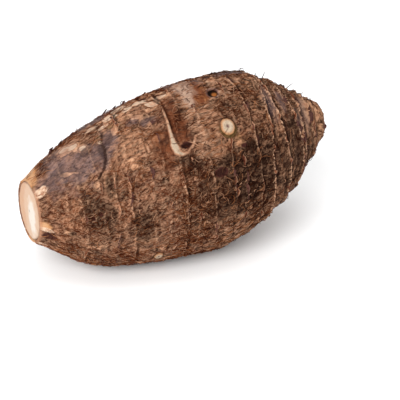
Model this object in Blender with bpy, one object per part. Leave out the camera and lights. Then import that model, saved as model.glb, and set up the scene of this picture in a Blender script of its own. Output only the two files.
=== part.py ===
"""A whole taro corm, trimmed at the root end and at the crown. Metres, +Z up, +X from root end to crown."""

import math

import bmesh
import bpy
from mathutils import Matrix, Vector

MM = 0.001

# Driving dimensions
LENGTH = 210 * MM  # from the root cut to the crown's rim, along the middle
WIDTH_TO_HEIGHT = 0.985
EGG = 0.10  # how much wider the underside is than the back, as a share of the half width
SIDE_BOW = 1.6 * MM  # the middle swings this far to +Y, and the ends to -Y
CUT_LEAN = math.radians(2.0)  # the root cut leans back at its top
CUT_TURN = math.radians(-3.2)  # and turns a little towards -Y
CUT_REACH = 0.3  # share of the length over which the sections follow the cut's slant
SEGMENTS = 34
FLAT_CUT = 0.9 * MM  # the belly is worn level up to this height

# Low swells that wind round the corm: waves in a turn, winding, start, share of the half height
SWELLS = (
    (2, 5.0, 0.6, 0.007),
    (3, -7.0, 2.0, 0.006),
)

# The side outline: place along the length, height of the back and height of the belly (mm)
OUTLINE = (
    (0.00, 71.0, 28.0),
    (0.06, 80.5, 18.5),
    (0.16, 92.5, 5.5),
    (0.30, 105.5, 0.5),
    (0.45, 114.5, 0.0),
    (0.60, 119.0, 0.5),
    (0.74, 118.5, 13.5),
    (0.85, 108.5, 29.5),
    (0.93, 98.0, 47.0),
    (0.965, 93.5, 55.0),
    (1.00, 90.0, 62.5),
)

# Leaf scars run round the corm, closer together towards the crown (share of the length)
LEAF_SCARS = (
    0.075, 0.125, 0.175, 0.225, 0.275, 0.33, 0.385, 0.43, 0.475, 0.53,
    0.585, 0.64, 0.69, 0.745, 0.775, 0.805, 0.83, 0.86, 0.885, 0.91, 0.93,
)  # fmt: skip
SCAR_RIDGE = 0.55 * MM
SCAR_GROOVE = 0.45 * MM
# As shares of the gap to the next scar:
SCAR_FRONT = 0.16  # the ridge starts this far before the scar
SCAR_DIP = 0.10  # the groove lies this far behind it
SCAR_END = 0.30  # the skin is level again this far behind it
SCAR_SWAY = 0.10  # how far a scar sways along the corm on its way round
LEAF_TURN = math.radians(137.5)  # each leaf grew this far round from the one before

# Root cut and crown
CUT_RIM = 1.3 * MM  # thickness of the skin that shows round the cut
CUT_BEVEL = 2.6 * MM  # the flesh falls away from the rim over this width
CUT_SINK = 0.4 * MM  # and lies this far below it, because it has dried
CROWN_NECK = 0.955
CROWN_COLLAR = ((CROWN_NECK, 0.0), (0.975, 0.3), (0.99, 0.0), (1.0, -0.7))  # place, lift (mm)
CROWN_STEPS = ((2.6, 0.9), (1.2, -0.7), (3.0, 1.0), (1.2, -0.5), (2.6, 0.9))  # inset, rise (mm)

# Bud on the front side
BUD_PLACE = 0.605
BUD_ANGLE = math.radians(43)  # from the top towards -Y
BUD_RADIUS = 4.6 * MM
BUD_STANDS = 0.9 * MM
BUD_DEPTH = 3.0 * MM
BUD_SIDES = 20
BUD_TAPER = 0.82  # top radius as a share of the base's
BUD_LIP = 1.6 * MM  # width of the ring round the dimple
DIMPLE_SIDE = 0.5 * MM
DIMPLE_DEPTH = 0.5 * MM

SKIN_COLOR = (0.195, 0.092, 0.046, 1.0)
SKIN_ROUGHNESS = 0.82


def clear_scene():
    for obj in list(bpy.data.objects):
        bpy.data.objects.remove(obj, do_unlink=True)


def principled(name, color, roughness):
    material = bpy.data.materials.new(name)
    material.use_nodes = True
    shader = material.node_tree.nodes["Principled BSDF"]
    shader.inputs["Base Color"].default_value = color
    shader.inputs["Roughness"].default_value = roughness
    shader.inputs["Metallic"].default_value = 0.0
    material.diffuse_color = color
    return material


def slope(i, column):
    """Slope of the outline at point i, from its neighbours on both sides."""
    before = OUTLINE[max(i - 1, 0)]
    after = OUTLINE[min(i + 1, len(OUTLINE) - 1)]
    return (after[column] - before[column]) / (after[0] - before[0])


def outline_at(u, column):
    """Height in metres at u, on the smooth curve through the outline's points."""
    i = 0
    while i < len(OUTLINE) - 2 and u > OUTLINE[i + 1][0]:
        i += 1
    start, end = OUTLINE[i], OUTLINE[i + 1]
    gap = end[0] - start[0]
    s = (u - start[0]) / gap
    height = (
        (2 * s**3 - 3 * s**2 + 1) * start[column]
        + (s**3 - 2 * s**2 + s) * gap * slope(i, column)
        + (3 * s**2 - 2 * s**3) * end[column]
        + (s**3 - s**2) * gap * slope(i + 1, column)
    )
    return height * MM


def surface_point(u, angle, lift=0.0):
    """Point of the skin at u along the corm and at an angle from the top towards -Y, raised by lift."""
    back, belly = outline_at(u, 1), outline_at(u, 2)
    half, middle = (back - belly) / 2, (back + belly) / 2
    bulge = max(math.sin(math.pi * u), 0.0)
    egg = EGG * math.sqrt(bulge)
    for times, wind, start, share in SWELLS:
        half *= 1 + share * bulge * math.cos(times * angle + wind * u + start)
    half += lift
    y = -WIDTH_TO_HEIGHT * half * math.sin(angle) * (1 - egg * math.cos(angle))
    z = half * math.cos(angle)
    follow = max(1 - u / CUT_REACH, 0.0) ** 2
    slant = follow * (math.tan(CUT_LEAN) * z + math.tan(CUT_TURN) * y)
    bow = SIDE_BOW * (2 * bulge - 1)
    return Vector((u * LENGTH + slant, y + bow, middle + z))


def stations():
    """Along the corm: place, the skin's lift there, how far it sways along and the angle of its sway."""
    found = [(0.0, 0.0, 0.0, 0.0), (0.035, 0.0, 0.0, 0.0)]
    for i, (u, following) in enumerate(zip(LEAF_SCARS, LEAF_SCARS[1:] + (CROWN_NECK,))):
        gap = following - u
        sway = (SCAR_SWAY * gap, i * LEAF_TURN)
        found.append((u - SCAR_FRONT * gap, 0.0, *sway))
        found.append((u, SCAR_RIDGE, *sway))
        found.append((u + SCAR_DIP * gap, -SCAR_GROOVE, *sway))
        found.append((u + SCAR_END * gap, 0.0, *sway))
    return found + [(u, lift * MM, 0.0, 0.0) for u, lift in CROWN_COLLAR]


def skin_rings(bm):
    rings = []
    for u, lift, sway, start in stations():
        ring = []
        for j in range(SEGMENTS):
            angle = 2 * math.pi * j / SEGMENTS
            ring.append(bm.verts.new(surface_point(u + sway * math.cos(angle + start), angle, lift)))
        rings.append(ring)
    for ring, following in zip(rings, rings[1:]):
        for j in range(SEGMENTS):
            k = (j + 1) % SEGMENTS
            bm.faces.new((ring[j], following[j], following[k], ring[k]))
    return rings


def step_in(bm, face, inset, rise):
    """Insets a flat face and moves its new inner face along its own normal."""
    bmesh.ops.inset_region(bm, faces=[face], thickness=inset, use_even_offset=True)
    shift = face.normal.copy() * rise
    bmesh.ops.translate(bm, verts=list(face.verts), vec=shift)
    bm.normal_update()


def close_root_cut(bm, ring):
    face = bm.faces.new(ring)
    bm.normal_update()
    step_in(bm, face, CUT_RIM, 0.0)
    step_in(bm, face, CUT_BEVEL, -CUT_SINK)


def close_crown(bm, ring):
    """The trimmed crown: rings of old leaf bases, each a step, round a low middle."""
    face = bm.faces.new(reversed(ring))
    bm.normal_update()
    for inset, rise in CROWN_STEPS:
        step_in(bm, face, inset * MM, rise * MM)


def flatten_belly(bm):
    """Cuts the underside level where the corm lies, and fills the cut with one flat face."""
    geometry = bm.verts[:] + bm.edges[:] + bm.faces[:]
    cut = bmesh.ops.bisect_plane(
        bm, geom=geometry, dist=1e-7, plane_co=(0, 0, FLAT_CUT), plane_no=(0, 0, -1), clear_outer=True
    )
    rim = [item for item in cut["geom_cut"] if isinstance(item, bmesh.types.BMEdge)]
    bmesh.ops.edgeloop_fill(bm, edges=rim)
    bmesh.ops.recalc_face_normals(bm, faces=bm.faces[:])


def bud(material):
    """A low button with a dimple, set into the skin, its axis along the skin's normal."""
    place = surface_point(BUD_PLACE, BUD_ANGLE)
    along = surface_point(BUD_PLACE + 0.01, BUD_ANGLE) - place
    around = surface_point(BUD_PLACE, BUD_ANGLE + 0.05) - place
    outward = along.cross(around).normalized()
    if outward.y > 0:
        outward.negate()
    bm = bmesh.new()
    bmesh.ops.create_cone(
        bm,
        cap_ends=True,
        segments=BUD_SIDES,
        radius1=BUD_RADIUS,
        radius2=BUD_TAPER * BUD_RADIUS,
        depth=BUD_DEPTH + BUD_STANDS,
    )
    bm.normal_update()
    top = max(bm.faces, key=lambda face: face.calc_center_median().z)
    step_in(bm, top, BUD_LIP, 0.0)
    step_in(bm, top, DIMPLE_SIDE, -DIMPLE_DEPTH)
    turn = outward.to_track_quat("Z", "Y").to_matrix().to_4x4()
    sink = Matrix.Translation(place + outward * (BUD_STANDS - BUD_DEPTH) / 2)
    bmesh.ops.transform(bm, matrix=sink @ turn, verts=bm.verts[:])
    mesh = bpy.data.meshes.new("bud_helper")
    bm.to_mesh(mesh)
    bm.free()
    helper = bpy.data.objects.new("bud_helper", mesh)
    helper.data.materials.append(material)
    helper.hide_render = True
    helper.display_type = "WIRE"
    bpy.context.collection.objects.link(helper)
    return helper


def corm_mesh():
    bm = bmesh.new()
    rings = skin_rings(bm)
    close_root_cut(bm, rings[0])
    close_crown(bm, rings[-1])
    flatten_belly(bm)
    mesh = bpy.data.meshes.new("taro_corm")
    bm.to_mesh(mesh)
    bm.free()
    return mesh


def centre_on_origin(objects):
    """Moves all of them alike, to stand the first one's box on z = 0 with the origin under its middle."""
    corners = [vertex.co for vertex in objects[0].data.vertices]
    middle_x = (min(c.x for c in corners) + max(c.x for c in corners)) / 2
    middle_y = (min(c.y for c in corners) + max(c.y for c in corners)) / 2
    lowest = min(c.z for c in corners)
    for obj in objects:
        obj.data.transform(Matrix.Translation((-middle_x, -middle_y, -lowest)))


def main():
    clear_scene()
    skin = principled("taro_skin", SKIN_COLOR, SKIN_ROUGHNESS)
    corm = bpy.data.objects.new("taro_corm", corm_mesh())
    bpy.context.collection.objects.link(corm)
    corm.data.materials.append(skin)
    helper = bud(skin)
    centre_on_origin([corm, helper])
    join = corm.modifiers.new("bud", "BOOLEAN")
    join.operation = "UNION"
    join.solver = "EXACT"
    join.object = helper
    corm.data.shade_smooth()
    corm.data.set_sharp_from_angle(angle=math.radians(40))


main()
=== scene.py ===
import math

import bpy
import numpy as np
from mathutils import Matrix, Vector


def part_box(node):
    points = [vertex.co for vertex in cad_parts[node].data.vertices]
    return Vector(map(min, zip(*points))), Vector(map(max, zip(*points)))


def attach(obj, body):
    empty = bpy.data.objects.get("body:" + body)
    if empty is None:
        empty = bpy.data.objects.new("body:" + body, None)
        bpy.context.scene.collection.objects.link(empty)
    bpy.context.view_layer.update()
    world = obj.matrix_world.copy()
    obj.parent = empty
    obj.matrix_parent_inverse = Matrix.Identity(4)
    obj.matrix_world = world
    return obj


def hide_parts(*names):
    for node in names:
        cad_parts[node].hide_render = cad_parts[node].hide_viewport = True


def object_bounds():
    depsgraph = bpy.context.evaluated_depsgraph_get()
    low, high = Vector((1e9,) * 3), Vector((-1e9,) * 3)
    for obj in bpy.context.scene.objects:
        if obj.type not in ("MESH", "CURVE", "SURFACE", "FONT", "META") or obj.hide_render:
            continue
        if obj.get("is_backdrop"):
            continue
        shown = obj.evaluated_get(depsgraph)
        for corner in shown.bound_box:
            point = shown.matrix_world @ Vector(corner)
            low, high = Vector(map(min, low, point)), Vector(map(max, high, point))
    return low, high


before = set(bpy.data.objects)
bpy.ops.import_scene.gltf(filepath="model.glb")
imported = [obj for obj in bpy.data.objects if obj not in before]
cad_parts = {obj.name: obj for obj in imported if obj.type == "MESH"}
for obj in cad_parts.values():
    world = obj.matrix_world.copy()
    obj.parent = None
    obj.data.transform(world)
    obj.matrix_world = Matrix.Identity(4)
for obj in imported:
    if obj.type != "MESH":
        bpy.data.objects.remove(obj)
cadLow, cadHigh = (np.array(corner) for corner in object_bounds())
cormLow, cormHigh = (np.array(corner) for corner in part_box("taro_corm"))
mm = 0.001
fullTurn = 2 * math.pi
print("frame loaded, corm box in mm:", np.round((cormHigh - cormLow) / mm, 1))


def smoothStep(low, high, value):
    # 0 at low, 1 at high, and the S-curve 3t^2 - 2t^3 between them
    t = np.clip((value - low) / (high - low), 0, 1)
    return t * t * (3 - 2 * t)


def bell(value, width):
    # bell curve: e to minus the square of value over width
    return np.exp(-((value / width) ** 2))


noiseTable = 8192  # how many random numbers a noise repeats
latticeFactors = np.array([73856093, 19349663, 83492791])  # large primes that mix three numbers into one


def latticeKey(cell):
    # a row of the noise table for each whole-number place
    mixed = cell * latticeFactors
    return (mixed[..., 0] ^ mixed[..., 1] ^ mixed[..., 2]) % noiseTable


def latticeNoise(places, size, seed):
    # smooth noise from -1 to 1: random numbers on a cubic lattice of that size, blended by S-curves
    table = np.random.default_rng(seed).uniform(-1, 1, noiseTable)
    scaled = places / size
    cell = np.floor(scaled).astype(np.int64)
    part = scaled - cell
    blend = part * part * (3 - 2 * part)
    total = np.zeros(scaled.shape[:-1])
    for corner in range(8):
        bits = np.array([corner & 1, corner >> 1 & 1, corner >> 2 & 1])
        weight = np.where(bits == 1, blend, 1 - blend).prod(-1)
        total += weight * table[latticeKey(cell + bits)]
    return total


def layeredNoise(places, size, seed, layers=3, fade=0.5):
    # each layer has half the size of the one before and a share of its height
    total, height, sumOfHeights = 0.0, 1.0, 0.0
    for layer in range(layers):
        total = total + height * latticeNoise(places, size / 2**layer, seed + layer)
        sumOfHeights += height
        height *= fade
    return total / sumOfHeights


def plates(places, size, seed):
    # plates round jittered lattice points: how far each place is from its plate's border, and its plate's
    # own random number
    rng = np.random.default_rng(seed)
    jitter = rng.uniform(0.1, 0.9, (noiseTable, 3))
    number = rng.uniform(0, 1, noiseTable)
    scaled = places / size
    cell = np.floor(scaled).astype(np.int64)
    nearest = np.full(scaled.shape[:-1], np.inf)
    second = nearest.copy()
    own = np.zeros(scaled.shape[:-1])
    for step in np.ndindex(3, 3, 3):
        neighbour = cell + np.array(step) - 1
        key = latticeKey(neighbour)
        distance = np.linalg.norm(neighbour + jitter[key] - scaled, axis=-1)
        closer = distance < nearest
        second = np.where(closer, nearest, np.minimum(second, distance))
        own = np.where(closer, number[key], own)
        nearest = np.minimum(nearest, distance)
    return (second - nearest) * size, own


def makePiece(name, points, faces, material):
    # points as n x 3; faces as m x 4, where a corner that is given twice running at the end makes a triangle
    mesh = bpy.data.meshes.new(name)
    sides = np.where(faces[:, 3] == faces[:, 2], 3, 4)
    loops = faces[np.arange(4)[None, :] < sides[:, None]]
    mesh.vertices.add(len(points))
    mesh.vertices.foreach_set("co", points.astype(np.float32).ravel())
    mesh.loops.add(len(loops))
    mesh.loops.foreach_set("vertex_index", loops.astype(np.int32))
    mesh.polygons.add(len(faces))
    mesh.polygons.foreach_set("loop_start", (np.cumsum(sides) - sides).astype(np.int32))
    mesh.polygons.foreach_set("use_smooth", np.ones(len(faces), bool))
    mesh.update(calc_edges=True)
    mesh.validate()
    mesh.materials.append(material)
    piece = bpy.data.objects.new(name, mesh)
    bpy.context.scene.collection.objects.link(piece)
    return piece


def giveAttribute(piece, name, values):
    attribute = piece.data.attributes.new(name, "FLOAT", "POINT")
    attribute.data.foreach_set("value", np.asarray(values, np.float32).ravel())


def giveMap(piece, places):
    # places as m x 4 x 2, the map position of each face's corners
    sides = np.empty(len(piece.data.polygons), np.int32)
    piece.data.polygons.foreach_get("loop_total", sides)
    kept = places[np.arange(4)[None, :] < sides[:, None]]
    layer = piece.data.uv_layers.new(name="OFBake")
    layer.data.foreach_set("uv", kept.astype(np.float32).ravel())


def operator(operation, swapped=False):
    # an arithmetic method of Wire that adds a Math node
    def apply(self, other=0.0):
        pair = (other, self) if swapped else (self, other)
        return self.maths(operation, *pair)

    return apply


class Wire:
    # a node's output, so that shader maths can be written as Python expressions
    def __init__(self, tree, socket):
        self.tree = tree
        self.socket = socket

    def node(self, kind, settings=None, output=0, **values):
        # settings are set first; a value is a number, a tuple or a Wire, and input3=... means socket number 3
        made = self.tree.nodes.new("ShaderNode" + kind)
        for name, value in (settings or {}).items():
            setattr(made, name, value)
        for name, value in values.items():
            key = int(name[5:]) if name.startswith("input") else name.replace("_", " ")
            if isinstance(value, Wire):
                self.tree.links.new(value.socket, made.inputs[key])
            else:
                made.inputs[key].default_value = value
        return Wire(self.tree, made.outputs[output])

    def maths(self, operation, *values):
        inputs = {f"input{i}": value for i, value in enumerate(values)}
        return self.node("Math", {"operation": operation}, **inputs)

    __add__ = operator("ADD")
    __radd__ = operator("ADD", swapped=True)
    __sub__ = operator("SUBTRACT")
    __rsub__ = operator("SUBTRACT", swapped=True)
    __mul__ = operator("MULTIPLY")
    __rmul__ = operator("MULTIPLY", swapped=True)
    __abs__ = operator("ABSOLUTE")
    larger = operator("MAXIMUM")

    def ramp(self, low, high, first=0.0, last=1.0):
        # first at low, last at high, and an S-curve between them
        settings = {"interpolation_type": "SMOOTHSTEP"}
        return self.node(
            "MapRange", settings, Value=self, From_Min=low, From_Max=high, To_Min=first, To_Max=last
        )

    def near(self, centre, reach):
        # 1 where the value is at centre, falling to 0 at reach from it
        return abs(self - centre).ramp(0.0, reach, 1.0, 0.0)

    def jittered(self, noise, amount):
        # shifted up and down by a noise that runs from 0 to 1
        return self + (noise - 0.5) * amount


class Finish:
    # a new material: its Principled shader, the places in millimetres, its tones and its colour so far
    def __init__(self, name, tones, **constants):
        self.material = bpy.data.materials.new(name)
        self.material.use_nodes = True
        self.tree = self.material.node_tree
        self.shader = self.tree.nodes["Principled BSDF"]
        for key, value in constants.items():
            self.shader.inputs[key.replace("_", " ")].default_value = value
        self.start = Wire(self.tree, None)
        self.place = self.stretched(self.start.node("TexCoord", output=3), 1 / mm)
        self.tones = tones
        self.shown = None

    def stretched(self, vector, factors):
        factors = factors if isinstance(factors, tuple) else (factors,) * 3
        return self.start.node("VectorMath", {"operation": "MULTIPLY"}, input0=vector, input1=factors)

    def warped(self, vector, by, amount):
        # moves a place by a noise colour, so that a pattern on it loses its straightness
        around = self.start.node("VectorMath", {"operation": "SUBTRACT"}, input0=by, input1=(0.5,) * 3)
        shift = self.stretched(around, amount)
        return self.start.node("VectorMath", {"operation": "ADD"}, input0=vector, input1=shift)

    def noise(self, vector, scale, detail=2.0, roughness=0.5, output=0):
        values = {"Vector": vector, "Scale": scale, "Detail": detail, "Roughness": roughness}
        return self.start.node("TexNoise", output=output, **values)

    def mask(self, name):
        # the number that a piece's attribute of that name holds
        return self.start.node("Attribute", {"attribute_name": name}, output=2)

    def mix(self, share, first, second, how="MIX"):
        # a colour is a wire, a tuple or a tone's name; inputs 6 and 7 of a Mix node are its two colours, and
        # output 2 is its colour
        settings = {"data_type": "RGBA", "blend_type": how}
        first, second = (self.tones[tone] if isinstance(tone, str) else tone for tone in (first, second))
        return self.start.node("Mix", settings, output=2, input0=share, input6=first, input7=second)

    def lay(self, share, tone, how="MIX"):
        # lays one more tone over the colour so far
        self.shown = self.mix(share, self.shown, tone, how)

    def feed(self, name, wire):
        self.tree.links.new(wire.socket, self.shader.inputs[name])

    def bump(self, height, distance, strength=1.0):
        # height is in units of distance, which is in metres
        self.feed("Normal", self.start.node("Bump", Height=height, Distance=distance, Strength=strength))


toneShare = 0.86  # the studio light is strong, so every tone is taken down a little


def colour(red, green, blue):
    # an 8-bit display colour as a linear one
    share = np.array([red, green, blue]) / 255
    linear = np.where(share <= 0.04045, share / 12.92, ((share + 0.055) / 1.055) ** 2.4)
    return (*(float(value) for value in linear * toneShare), 1.0)


corm = {
    "length": 210.0,  # from the root cut to the crown's rim, in mm like the rest
    "outline": np.array([  # share of the length, height of the back, height of the belly
        (0.00, 71.0, 28.0),
        (0.06, 80.5, 18.5),
        (0.16, 92.5, 5.5),
        (0.30, 105.5, 0.5),
        (0.45, 114.5, 0.0),
        (0.60, 119.0, 0.5),
        (0.74, 118.5, 13.5),
        (0.85, 108.5, 29.5),
        (0.93, 98.0, 47.0),
        (0.965, 93.5, 55.0),
        (1.00, 90.0, 62.5),
    ]),
    "widthToHeight": 0.985,
    "egg": 0.10,  # how much wider the underside is than the back
    "sideBow": 1.6,
    "cutLean": math.radians(2.0),
    "cutTurn": math.radians(-3.2),
    "cutReach": 0.3,
    "wornBelly": 0.9,
    "swells": ((2, 5.0, 0.6, 0.007), (3, -7.0, 2.0, 0.006)),  # waves in a turn, winding, start, share
}


def outlineAt(u, column):
    # cubic through the outline's points, whose slope at a point comes from its two neighbours
    stations = corm["outline"][:, 0]
    heights = corm["outline"][:, column]
    last = len(stations) - 1
    before = np.maximum(np.arange(last + 1) - 1, 0)
    after = np.minimum(np.arange(last + 1) + 1, last)
    slopes = (heights[after] - heights[before]) / (stations[after] - stations[before])
    i = np.clip(np.searchsorted(stations, u, side="right") - 1, 0, last - 1)
    gap = stations[i + 1] - stations[i]
    s = (u - stations[i]) / gap
    return (
        (2 * s**3 - 3 * s**2 + 1) * heights[i]
        + (s**3 - 2 * s**2 + s) * gap * slopes[i]
        + (3 * s**2 - 2 * s**3) * heights[i + 1]
        + (s**3 - s**2) * gap * slopes[i + 1]
    )


def cormPoint(u, angle):
    # egg-shaped section at u along the corm, at an angle from the top towards -Y: half the height times
    # cosine up, and sine across, a little wider below; near the root end the sections lean like the cut
    u, angle = np.broadcast_arrays(np.asarray(u, float), np.asarray(angle, float))
    back, belly = outlineAt(u, 1), outlineAt(u, 2)
    half, middle = (back - belly) / 2, (back + belly) / 2
    bulge = np.clip(np.sin(np.pi * u), 0, None)
    for times, wind, start, share in corm["swells"]:
        half = half * (1 + share * bulge * np.cos(times * angle + wind * u + start))
    across = 1 - corm["egg"] * np.sqrt(bulge) * np.cos(angle)
    y = -corm["widthToHeight"] * half * np.sin(angle) * across
    z = half * np.cos(angle)
    follow = np.clip(1 - u / corm["cutReach"], 0, 1) ** 2
    x = u * corm["length"] + follow * (math.tan(corm["cutLean"]) * z + math.tan(corm["cutTurn"]) * y)
    bow = corm["sideBow"] * (2 * bulge - 1)
    return np.stack([x, y + bow, middle + z], -1) * mm


def placeInFrame():
    # the move that puts the formula's shape into the CAD box: root end, middle and belly
    u = np.linspace(0, 1, 201)[:, None]
    angle = np.linspace(0, fullTurn, 181)[None, :]
    shape = cormPoint(u, angle).reshape(-1, 3)
    low, high = shape.min(0), shape.max(0)
    middleY = (cormLow[1] + cormHigh[1]) / 2 - (low[1] + high[1]) / 2
    return np.array([cormLow[0] - low[0], middleY, cormLow[2] - corm["wornBelly"] * mm])


moveToFrame = placeInFrame()
print("corm formula moved by mm:", np.round(moveToFrame / mm, 2))

grid = {"along": 300, "around": 300, "crownRows": 22}
angles = np.arange(grid["around"]) / grid["around"] * fullTurn - math.pi  # the seam is under the belly
rows = np.linspace(0, 1, grid["along"])
gridU, gridAngle = np.meshgrid(rows, angles, indexing="ij")
smoothSkin = cormPoint(gridU, gridAngle) + moveToFrame
placeMm = smoothSkin / mm  # patterns are worked out in millimetres


def outwardOf(surface):
    # unit normals of a grid that is closed round its second axis: one side crossed with the other
    along = np.gradient(surface, axis=0)
    around = np.roll(surface, -1, 1) - np.roll(surface, 1, 1)
    normal = np.cross(around, along)
    normal /= np.linalg.norm(normal, axis=-1, keepdims=True)
    middle = surface.mean(1, keepdims=True)
    return normal * np.sign(((surface - middle) * normal).sum(-1).mean())


smoothOutward = outwardOf(smoothSkin)
girth = np.linalg.norm(np.roll(smoothSkin, -1, 1) - smoothSkin, axis=-1).sum(1)
radiusMm = girth / fullTurn / mm  # mean radius of each row


# the distances in mm that stand for nowhere near
farOff = {"scar": 9.0, "bud": 30.0, "hole": 30.0, "streak": 99.0, "crack": 99.0}

scars = {
    # leaf scars: share of the length, how strongly each one shows, and how much it climbs along the front
    "rings": np.array([
        (0.075, 0.20, 0), (0.125, 0.30, 0), (0.175, 0.35, 0), (0.225, 0.35, 0), (0.278, 0.60, -0.03),
        (0.33, 0.25, 0), (0.385, 0.45, 0), (0.43, 0.75, 0), (0.475, 0.35, 0), (0.53, 0.40, 0),
        (0.592, 0.50, 0), (0.64, 0.25, 0), (0.69, 0.65, 0), (0.752, 1.15, -0.03), (0.802, 1.25, 0.02),
        (0.854, 1.20, 0.03), (0.889, 1.15, 0.012), (0.943, 1.10, 0.015),
    ]),
    "neck": 0.965,  # where the gap behind the last ring ends
    "sway": 0.12,  # share of the gap that a ring sways along the corm
    "wobble": 0.16,
    "leafTurn": math.radians(137.5),  # each leaf grew this far round from the one before
    "front": math.radians(40),  # where the climb is counted from
    "ridge": 1.2,  # height of the crest in mm
    "groove": 1.35,  # depth behind it
    "swell": 0.6,
    "valley": 1.8,  # more depth behind the strongest rings
}


def ringLine(index, places, angle):
    # where ring number index runs: its own place, a slow sway on the way round, a small wobble and its climb
    place, _, climb = scars["rings"][index]
    gaps = np.diff(np.append(scars["rings"][:, 0], scars["neck"]))
    sway = scars["sway"] * np.cos(angle + index * scars["leafTurn"])
    wobble = scars["wobble"] * layeredNoise(places, 9.0, 400 + index, 2)
    past = (angle - scars["front"] + math.pi) % fullTurn - math.pi
    return place + gaps[index] * (sway + wobble) + climb * np.sin(past) * bell(past, 1.2)


def scarRelief(places, u, angle):
    # over all rings: lift of the skin, distance along the corm from the nearest one, and its strength there
    lift = np.zeros(u.shape)
    nearest = np.full(u.shape, farOff["scar"])
    power = np.zeros(u.shape)
    for index, (_, strength, _) in enumerate(scars["rings"]):
        distance = (u - ringLine(index, places, angle)) * corm["length"]
        patchy = np.clip(0.55 + 1.1 * layeredNoise(places, 13.0, 500 + index, 3), 0.0, 1.25)
        patchy = np.maximum(patchy, 0.9 * min(strength, 1.0) ** 4)
        local = strength * patchy
        lift += local * (
            scars["ridge"] * bell(distance + 0.2, 0.85)
            - scars["groove"] * bell(distance - 1.5, 0.9)
            + scars["swell"] * bell(distance + 1.2, 2.8)
        )
        lift -= scars["valley"] * max(strength - 0.7, 0) * bell(distance - 2.8, 1.9)
        closer = np.abs(distance) < np.abs(nearest)
        nearest = np.where(closer, distance, nearest)
        power = np.where(closer, local, power)
    return lift, nearest, power


def flatPlace(u, angle, startU, startAngle, tilt=0.0):
    # millimetres along and round the skin from a starting point, turned by tilt degrees
    along = (u - startU) * corm["length"]
    radius = np.interp(startU, rows, radiusMm)
    turned = (angle - math.radians(startAngle) + math.pi) % fullTurn - math.pi
    across = turned * radius
    cosine, sine = math.cos(math.radians(tilt)), math.sin(math.radians(tilt))
    return along * cosine + across * sine, across * cosine - along * sine


raggedEdge = layeredNoise(placeMm, 5.0, 900, 3)


def oval(u, angle, startU, startAngle, halfLength, halfWidth, tilt=0.0):
    # how far each place is from an oval's middle: the root of both squared shares of its half sizes
    along, across = flatPlace(u, angle, startU, startAngle, tilt)
    return np.hypot(along / halfLength, across / halfWidth)


def patch(u, angle, spot, ragged, soft):
    # an oval's inside as 1 and its outside as 0, with a ragged and soft edge between them
    return smoothStep(1 + soft, 1 - soft, oval(u, angle, *spot) + ragged * raggedEdge)


def scattered(seed, count, halfLengths, halfWidths, lowest=0.05, highest=0.95):
    # more ovals of the same kind all over the corm, as guesses for what was never seen
    rng = np.random.default_rng(seed)
    return np.stack([
        rng.uniform(lowest, highest, count),
        rng.uniform(-180, 180, count),
        rng.uniform(*halfLengths, count),
        rng.uniform(*halfWidths, count),
        rng.normal(0, 25, count),
    ], 1).tolist()


def lineDistance(u, angle, points):
    # millimetres over the skin from a band of straight runs; each point is a place, an angle and a half width
    nearest = np.full(u.shape, farOff["streak"])
    for (firstU, firstAngle, firstWidth), (lastU, lastAngle, lastWidth) in zip(points, points[1:]):
        along, across = flatPlace(u, angle, firstU, firstAngle)
        endAlong, endAcross = flatPlace(lastU, math.radians(lastAngle), firstU, firstAngle)
        lengthSquared = endAlong**2 + endAcross**2
        share = np.clip((along * endAlong + across * endAcross) / lengthSquared, 0, 1)
        distance = np.hypot(along - share * endAlong, across - share * endAcross)
        nearest = np.minimum(nearest, distance - firstWidth - share * (lastWidth - firstWidth))
    return nearest


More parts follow.
